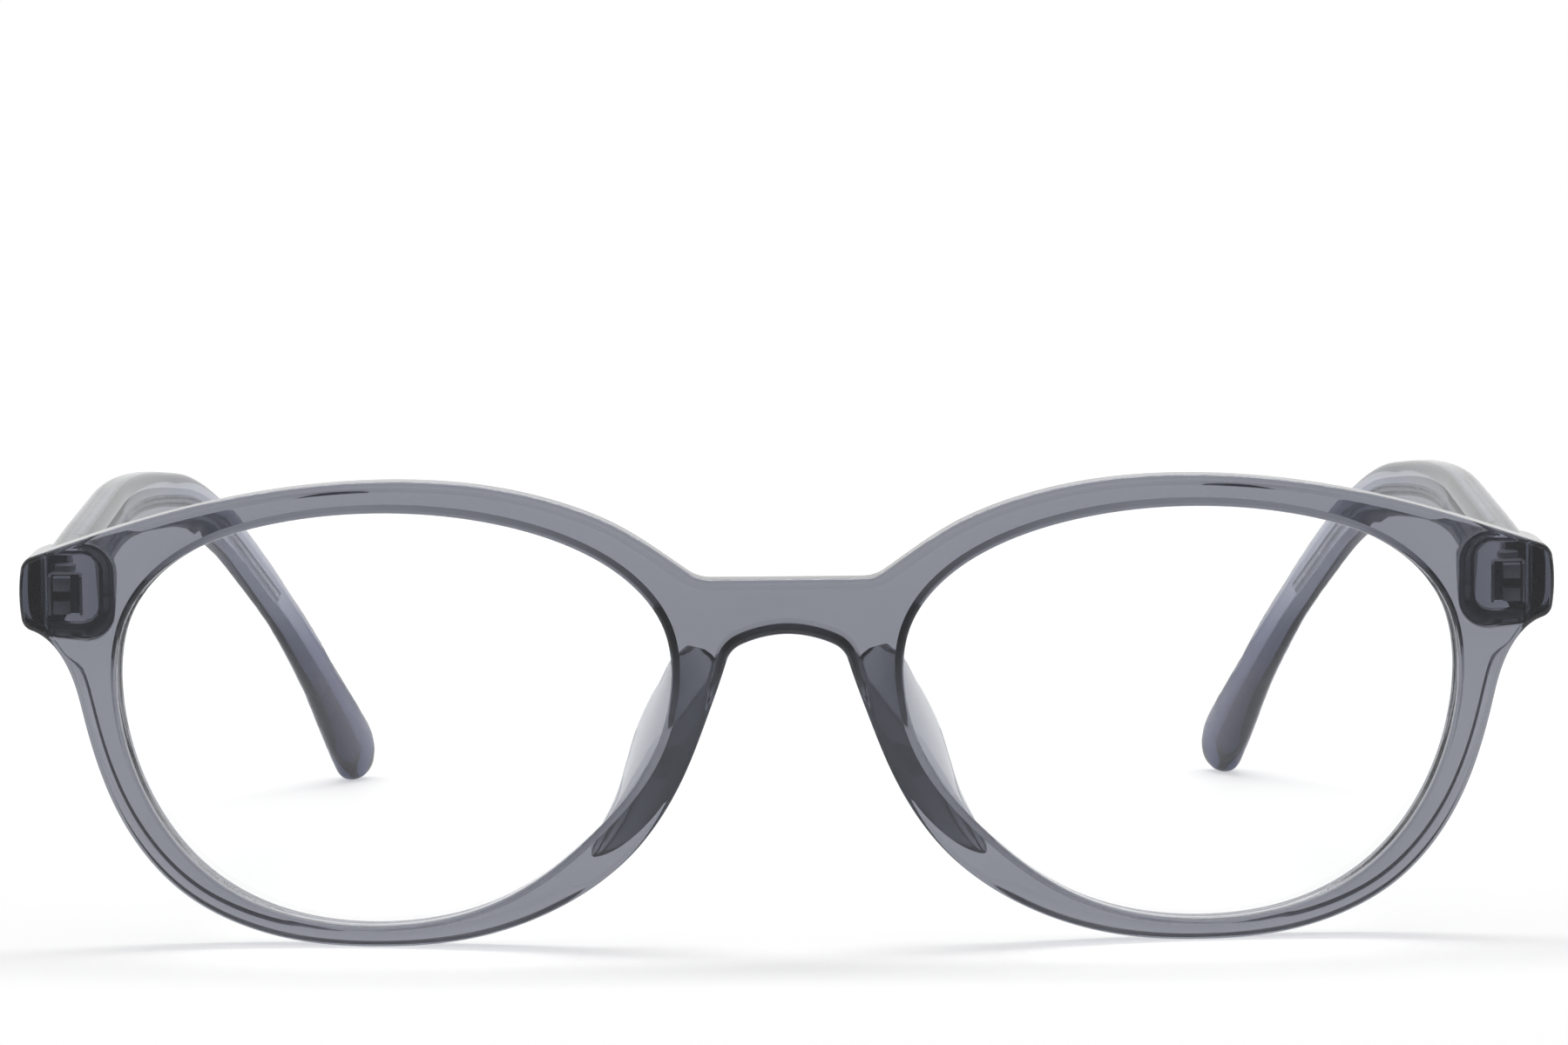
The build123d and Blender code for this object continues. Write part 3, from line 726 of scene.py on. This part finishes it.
def buildTemple():
    look = temple
    path = roundedPath(templeCorners, templeCuts)
    length = lengthAlong(path)
    total = length[-1]
    end, tip = total - look["tipTrim"], look["tipHalf"]
    turning = np.sin(np.radians(np.linspace(0, look["tipSweep"], look["tipRings"])))
    places = np.concatenate([
        look["frontPlaces"], [look["frontRound"]],
        np.linspace(look["ringsStart"], end - tip, look["rings"])[:-1], end - tip * (1 - turning),
    ])
    place = lambda s: np.stack([np.interp(s, length, path[:, k]) for k in range(3)], axis=-1)
    shares = np.array(sectionShares)
    turns = np.linspace(0, 2 * np.pi, look["sides"], endpoint=False)
    rows = []
    for s in places:
        way = place(min(s + look["wayReach"], total)) - place(max(s - look["wayReach"], 0))
        way = np.array([0.0, 0.0, 1.0]) if s < look["straightEnd"] else way / np.linalg.norm(way)
        across = np.cross(way, (0, 1, 0))
        across /= np.linalg.norm(across)
        up = np.cross(across, way)
        power = 2 / np.interp(s / total, look["roundingShares"], look["squareness"])
        shapeX, shapeY = (np.sign(wave) * np.abs(wave) ** power for wave in (np.cos(turns), np.sin(turns)))
        thick, tall = (look[size] * np.interp(s / total, shares[:, 0], shares[:, k]) / 2
                       for k, size in ((1, "thickness"), (2, "height")))
        left = end - s
        if left < tip:  # the tip is round in side view, with soft edges
            tall = min(tall, tip) * roundEnd(left, tip)
        if left < look["tipEdge"]:
            thick *= look["tipThinnest"] + (1 - look["tipThinnest"]) * roundEnd(left, look["tipEdge"])
        if s < look["frontRound"]:
            shrink = look["frontRound"] * (1 - roundEnd(s, look["frontRound"]))
            thick, tall = thick - shrink, tall - shrink
        rows.append(place(s) + np.outer(shapeX * thick, across) + np.outer(shapeY * tall, up))
    return closedSkin(rows)


# a new object with the piece's finished mesh, in place of the piece
def baked(piece, name):
    graph = bpy.context.evaluated_depsgraph_get()
    data = bpy.data.meshes.new_from_object(piece.evaluated_get(graph))
    data.name = name
    bpy.data.objects.remove(piece)
    return newPiece(name, data)


def combined(piece, others, operation):
    for other in others:
        setAll(piece.modifiers.new("step", "BOOLEAN"), operation=operation, solver="EXACT", object=other)
    result = baked(piece, piece.name + "_whole")
    for other in others:
        bpy.data.objects.remove(other)
    return result


# box between two corners of the hinge's own millimetres, with softened edges
def block(low, high, soft=0.0):
    low, high = np.minimum(low, high), np.maximum(low, high)
    mesh = bmesh.new()
    bmesh.ops.create_cube(mesh, size=1.0)
    for vertex in mesh.verts:
        vertex.co = Vector((low + high) / 2 + np.array(vertex.co) * (high - low))
    if soft:
        bmesh.ops.bevel(mesh, geom=mesh.edges[:], offset=soft, segments=2, profile=0.6, affect="EDGES")
    return meshPiece("block", mesh)


# takes a piece from the hinge's own millimetres, out, back and up from its pivot, to its place
def settle(piece, side, name):
    matrix = Matrix((np.column_stack([outDir * side, backDir, upDir]) / 1000).tolist()).to_4x4()
    matrix.translation = Vector(pivotPlace * (side, 1, 1))
    piece.data.transform(matrix)
    if side < 0:
        piece.data.flip_normals()
    piece.name = piece.data.name = name
    piece.data.shade_smooth()
    keepSharp(piece, hinge["sharpAngle"])
    return piece


# every tree ends with real geometry in the material that it is given
def endTree(tree, given, results, shape):
    real = addStep(tree, "GeometryNodeRealizeInstances", {"Geometry": shape})
    painted = addStep(tree, "GeometryNodeSetMaterial", {"Geometry": real, "Material": given["Material"]})
    plug(tree, results, {"Geometry": painted})


def runTree(source, tree, values, name):
    modifier = source.modifiers.new("tree", "NODES")
    modifier.node_group = tree
    for item in tree.interface.items_tree:
        if item.item_type == "SOCKET" and item.in_out == "INPUT" and item.name in values:
            modifier[item.identifier] = values[item.name]
    return baked(source, name)


# tree that stacks barrels on the hinge's axis, each a softened ring
barrels, given, results = newGroup(
    "hingeBarrels", "GeometryNodeTree",
    {"Geometry": None, "Radius": 1.25, "Bore": 0.62, "Height": 1.2, "Soft": 0.1, "Spacing": 2.4, "Count": 2,
     "Material": None},
    {"Geometry": None},
)
wall = addMath(barrels, "SUBTRACT", given["Radius"], given["Bore"])
middle = addMath(barrels, "MULTIPLY", addMath(barrels, "ADD", given["Radius"], given["Bore"]), 0.5)
reach = addMath(barrels, "MULTIPLY", given["Spacing"], addMath(barrels, "SUBTRACT", given["Count"], 1.0))
section = addStep(barrels, "GeometryNodeCurvePrimitiveQuadrilateral", {"Width": given["Height"], "Height": wall})
section = addStep(barrels, "GeometryNodeFilletCurve", {"Curve": section, "Radius": given["Soft"], "Count": 3},
                  mode="POLY")
circle = addStep(barrels, "GeometryNodeCurvePrimitiveCircle", {"Radius": middle, "Resolution": 56})
ring = addStep(barrels, "GeometryNodeCurveToMesh", {"Curve": circle, "Profile Curve": section})
stack = addStep(barrels, "GeometryNodeMeshLine", {
    "Count": given["Count"], "Offset": addStep(barrels, "ShaderNodeCombineXYZ", {"Z": given["Spacing"]}),
    "Start Location": addStep(barrels, "ShaderNodeCombineXYZ", {"Z": addMath(barrels, "MULTIPLY", reach, -0.5)}),
})
copies = addStep(barrels, "GeometryNodeInstanceOnPoints", {"Points": stack, "Instance": ring})
endTree(barrels, given, results, copies)

# tree for a slotted screw: shank and head on one axis, with a slot across the head
screws, given, results = newGroup(
    "slottedScrew", "GeometryNodeTree",
    {"Geometry": None, "Shank Radius": 0.6, "Shank Length": 3.6, "Head Radius": 1.0, "Head Height": 0.5,
     "Slot Width": 0.3, "Slot Depth": 0.2, "Material": None},
    {"Geometry": None},
)


def addRod(radius, depth):
    return addStep(screws, "GeometryNodeMeshCylinder", {"Vertices": 48, "Radius": radius, "Depth": depth})


def raised(shape, height):
    up = addStep(screws, "ShaderNodeCombineXYZ", {"Z": height})
    return addStep(screws, "GeometryNodeTransform", {"Geometry": shape, "Translation": up})


top = addMath(screws, "MULTIPLY", given["Shank Length"], 0.5)
headMiddle = addMath(screws, "ADD", top, addMath(screws, "MULTIPLY", given["Head Height"], 0.5))
overlap = addMath(screws, "MULTIPLY", given["Head Height"], 0.2)
shank = addRod(given["Shank Radius"], addMath(screws, "ADD", given["Shank Length"], overlap))
head = raised(addRod(given["Head Radius"], given["Head Height"]), headMiddle)
slot = addStep(screws, "GeometryNodeMeshCube", {"Size": addStep(screws, "ShaderNodeCombineXYZ", {
    "X": addMath(screws, "MULTIPLY", given["Head Radius"], 3.0), "Y": given["Slot Width"],
    "Z": addMath(screws, "MULTIPLY", given["Slot Depth"], 2.0),
})})
slot = raised(slot, addMath(screws, "ADD", top, given["Head Height"]))
whole = addStep(screws, "GeometryNodeMeshBoolean", {"Mesh 2": [shank, head]}, operation="UNION")
slotted = addStep(screws, "GeometryNodeMeshBoolean", {"Mesh 1": whole, "Mesh 2": slot}, operation="DIFFERENCE")
endTree(screws, given, results, slotted)

# tree that runs a round wire along a curve
wires, given, results = newGroup(
    "coreWire", "GeometryNodeTree", {"Geometry": None, "Radius": 0.0006, "Material": None}, {"Geometry": None},
)
circle = addStep(wires, "GeometryNodeCurvePrimitiveCircle", {"Radius": given["Radius"], "Resolution": 20})
tube = {"Curve": given["Geometry"], "Profile Curve": circle, "Fill Caps": True}
endTree(wires, given, results, addStep(wires, "GeometryNodeCurveToMesh", tube))
print("geometry trees made")

# hinges, in millimetres out, back and up from the pivot
hinge = {
    "half": 1.8, "radius": 1.25, "bore": 0.64, "endHeight": 1.2, "middleHeight": 1.1, "soft": 0.09, "overlap": 0.1,
    "footHalf": 1.6, "footBack": -2.4, "footPlate": 0.5, "footFront": -5.4, "fenceThick": 0.28, "fenceShort": 0.2,
    "postIn": -0.5, "postOut": 1.15, "postLow": 0.42, "postEdge": 0.12, "lugGap": 0.05,
    "leafIn": -0.4, "leafOut": 0.7, "leafStart": 2.0, "leafEnd": 9.0, "leafSoft": 0.18, "pocketReach": 0.6,
    "headSoft": 0.07, "headAngle": 50, "sharpAngle": 30, "boreSides": 56, "past": 1.0,
}
screwSizes = {"Shank Radius": 0.6, "Head Radius": 1.0, "Head Height": 0.5, "Slot Width": 0.3, "Slot Depth": 0.2}


def barrelStack(count, height, spacing):
    return runTree(newPiece("stack", bpy.data.meshes.new("stack")), barrels, {
        "Radius": hinge["radius"], "Bore": hinge["bore"], "Height": height, "Soft": hinge["soft"],
        "Spacing": spacing, "Count": count, "Material": hingeSteel,
    }, "barrels")


def boreCutter(height):
    mesh = bmesh.new()
    radius = hinge["bore"] + hinge["overlap"]
    bmesh.ops.create_cone(mesh, cap_ends=True, segments=hinge["boreSides"], radius1=radius, radius2=radius,
                          depth=height + hinge["past"])
    return meshPiece("bore", mesh)


# the front leaf's foot is an H that shows through the plastic, with a lug for each barrel
def frontHinge():
    look = hinge
    half, wide, soft, back = look["half"], look["footHalf"], look["soft"], look["footBack"]
    plate = back - look["footPlate"]
    fence, fenceEnd, rear = look["fenceThick"], look["footFront"] + look["fenceShort"], plate + look["overlap"]
    parts = [block((-wide, plate, -half), (wide, back, half), soft)]
    parts += [block((way * (wide - fence), fenceEnd, -half), (way * wide, rear, half), soft) for way in (1, -1)]
    for level in (1, -1):
        parts.append(block((look["postIn"], look["footFront"], level * look["postLow"]),
                           (look["postOut"], rear, level * (half - look["postEdge"])), soft))
        parts.append(block((-look["radius"], back - look["overlap"], (half - look["endHeight"]) * level),
                           (look["radius"], -look["bore"] - look["lugGap"], half * level), soft))
    whole = combined(parts[0], parts[1:], "UNION")
    whole = combined(whole, [boreCutter(2 * half)], "DIFFERENCE")
    return combined(whole, [barrelStack(2, look["endHeight"], 2 * half - look["endHeight"])], "UNION")


def templeHinge():
    look = hinge
    level = look["middleHeight"] / 2
    leaf = block((look["leafIn"], look["leafStart"], -look["half"]), (look["leafOut"], look["leafEnd"], look["half"]),
                 look["leafSoft"])
    arm = block((look["leafIn"], 0, -level), (look["leafOut"], look["leafStart"] + look["past"], level), look["soft"])
    whole = combined(leaf, [arm], "UNION")
    whole = combined(whole, [boreCutter(look["middleHeight"])], "DIFFERENCE")
    return combined(whole, [barrelStack(1, look["middleHeight"], 0.0)], "UNION")


def hingeScrew():
    screw = runTree(newPiece("screw", bpy.data.meshes.new("screw")), screws, {
        **screwSizes, "Shank Length": 2 * hinge["half"], "Material": hingeSteel,
    }, "screw")
    setAll(screw.modifiers.new("soften", "BEVEL"), width=hinge["headSoft"], segments=2, limit_method="ANGLE",
           angle_limit=radians(hinge["headAngle"]))
    return baked(screw, "screw")


for side, name in hands:
    for make, stem, bodyName in ((frontHinge, "front_hinge", "front"), (templeHinge, "temple_hinge", name + "_temple"),
                                 (hingeScrew, "hinge_screw", "front")):
        piece = settle(make(), side, "fitted_" + stem + "_" + name)
        finish(piece, bodyName, "hinge_steel", stem + "_" + name, hingeSteel)
print("hinges made")

# each temple is notched for the end wall and pocketed for the leaf, with its core wire inside
wireCorners = np.array([
    templeCorners[0] + (templeCorners[1] - templeCorners[0]) * temple["wireStart"], templeCorners[1], templeCorners[2],
    templeCorners[2] + (templeCorners[3] - templeCorners[2]) * temple["wireEnd"],
])
templeMesh = buildTemple()
far, edge = temple["cutReach"], temple["clearance"]
notchOut, notchBack = temple["notchOut"] - pivotOut, temple["notchDepth"] - pivotBack
for side, name in hands:
    piece = makeMesh("polished_temple_" + name, side, *templeMesh)
    notch = block((notchOut - far, notchBack - far, -far), (notchOut, notchBack, far))
    pocket = block((hinge["leafIn"] - hinge["pocketReach"], hinge["leafStart"] - edge, -hinge["half"] - edge),
                   (hinge["leafOut"] + edge, hinge["leafEnd"] + edge, hinge["half"] + edge), hinge["leafSoft"])
    for cutter in (notch, pocket):
        settle(cutter, side, "cutter")
    piece = combined(piece, [notch, pocket], "DIFFERENCE")
    piece.name = piece.data.name = "polished_temple_" + name
    keepSharp(piece, temple["sharpAngle"])
    finish(piece, name + "_temple", "grey_acetate", "temple_" + name, templeAcetate)

    line = bpy.data.curves.new("wireLine", "CURVE")
    line.dimensions = "3D"
    spline = line.splines.new("POLY")
    spots = toWorld(roundedPath(wireCorners, templeCuts) * (side, 1, 1))
    spline.points.add(len(spots) - 1)
    for point, spot in zip(spline.points, spots):
        point.co = (*spot, 1)
    wire = runTree(newPiece("wireLine", line), wires, {"Radius": temple["wireRadius"] / 1000, "Material": wireSteel},
                   "drawn_core_wire_" + name)
    keepSharp(wire, temple["sharpAngle"])
    finish(wire, name + "_temple", "core_wire_steel", "core_wire_" + name, wireSteel)
print("temples made")

# floor: pale, and dark far in front for reflections and for light seen through the plastic
floorLook = {"half": 4.0, "colour": 0.55, "dark": 0.06, "darkStart": -0.16, "darkEnd": -0.28,
             "near": 0.12, "distant": 0.5, "lift": 0.46, "farLift": 0.75, "mirrored": 0.2}
wide = floorLook["half"]
floorMesh = bpy.data.meshes.new("floor")
floorMesh.from_pydata([(-wide, -wide, 0), (wide, -wide, 0), (wide, wide, 0), (-wide, wide, 0)], [], [(0, 1, 2, 3)])
floor = newPiece("floor", floorMesh)
material, tree, output = newMaterial("paleFloor")
path = addNode(tree, "ShaderNodeLightPath").outputs
place = ownPlace(tree)
back = addNode(tree, "ShaderNodeSeparateXYZ", {0: place}).outputs["Y"]
unseen = addMath(tree, "SUBTRACT", 1.0, path["Is Camera Ray"])
darkness = addMath(tree, "MULTIPLY", addRange(tree, back, floorLook["darkStart"], floorLook["darkEnd"]), unseen)
shade = addRange(tree, darkness, 0.0, 1.0, floorLook["colour"], floorLook["dark"], smooth=False)
seen = addMath(tree, "MAXIMUM", path["Is Transmission Ray"],
               addMath(tree, "MULTIPLY", path["Is Glossy Ray"], floorLook["mirrored"]))
seen = addMath(tree, "MAXIMUM", path["Is Camera Ray"], seen)
distance = addNode(tree, "ShaderNodeVectorMath", {0: place}, operation="LENGTH").outputs["Value"]
lift = addRange(tree, distance, floorLook["near"], floorLook["distant"], floorLook["lift"], floorLook["farLift"])
strength = addMath(tree, "MULTIPLY", addMath(tree, "MULTIPLY", seen, lift),
                   addMath(tree, "SUBTRACT", 1.0, darkness))
plug(tree, output, {"Surface": addStep(tree, "ShaderNodeAddShader", {
    0: addStep(tree, "ShaderNodeBsdfDiffuse", {"Color": shade}),
    1: addStep(tree, "ShaderNodeEmission", {"Strength": strength}),
})})
floorMesh.materials.append(material)

# world: white where the camera, reflections and clear plastic see it, dim above the camera's side
worldLook = {"dim": 0.2, "fill": 0.55, "zones": {"Y": (0.25, -0.05), "Z": (0.0, 0.15)}}
world = bpy.data.worlds.new("studio")
bpy.context.scene.world = world
world.use_nodes = True
tree = world.node_tree
tree.nodes.clear()
way = addNode(tree, "ShaderNodeTexCoord").outputs["Generated"]
ways = addNode(tree, "ShaderNodeSeparateXYZ", {0: way}).outputs
dimZone = addMath(tree, "MULTIPLY", *(addRange(tree, ways[axis], *ends) for axis, ends in worldLook["zones"].items()))
level = addRange(tree, dimZone, 0.0, 1.0, 1.0, worldLook["dim"], smooth=False)
path = addNode(tree, "ShaderNodeLightPath").outputs
clearSight = addMath(tree, "MAXIMUM", path["Is Glossy Ray"], path["Is Transmission Ray"])
lit = addStep(tree, "ShaderNodeMix", {0: clearSight, 2: worldLook["fill"], 3: level}, data_type="FLOAT")
shown = addStep(tree, "ShaderNodeMix", {0: path["Is Camera Ray"], 2: lit, 3: 1.0}, data_type="FLOAT")
background = addStep(tree, "ShaderNodeBackground", {"Color": (1, 1, 1, 1), "Strength": shown})
addNode(tree, "ShaderNodeOutputWorld", {"Surface": background})

# overhead strip lamp, a little behind the glasses
strip = {"shape": "RECTANGLE", "size": 0.5, "size_y": 0.12, "energy": 1.5}
stripPlace = (0.0, 0.12, 0.45)
lamp = newPiece("overheadStrip", setAll(bpy.data.lights.new("overheadStrip", "AREA"), **strip))
setAll(lamp, location=stripPlace, rotation_euler=(-np.arctan2(stripPlace[1], stripPlace[2]), 0, 0),
       visible_camera=False, visible_transmission=False)
print("stage made")

# camera: fitted to the photograph, a little above the glasses
view = {"lens": 127.2, "sensor_width": 36, "shift_x": -0.0021, "shift_y": 0.0834, "clip_start": 0.01, "clip_end": 50}
stand = {"place": (0.0, -0.5685, 0.0752), "pitch": 5.5, "roll": 0.53}
camera = newPiece("camera", setAll(bpy.data.cameras.new("camera"), **view))
camera.matrix_world = (
    Matrix.Translation(stand["place"])
    @ Matrix.Rotation(radians(90 - stand["pitch"]), 4, "X")
    @ Matrix.Rotation(radians(-stand["roll"]), 4, "Z")
)
bpy.context.scene.camera = camera
bpy.context.scene.view_settings.view_transform = "Standard"
print("camera set")
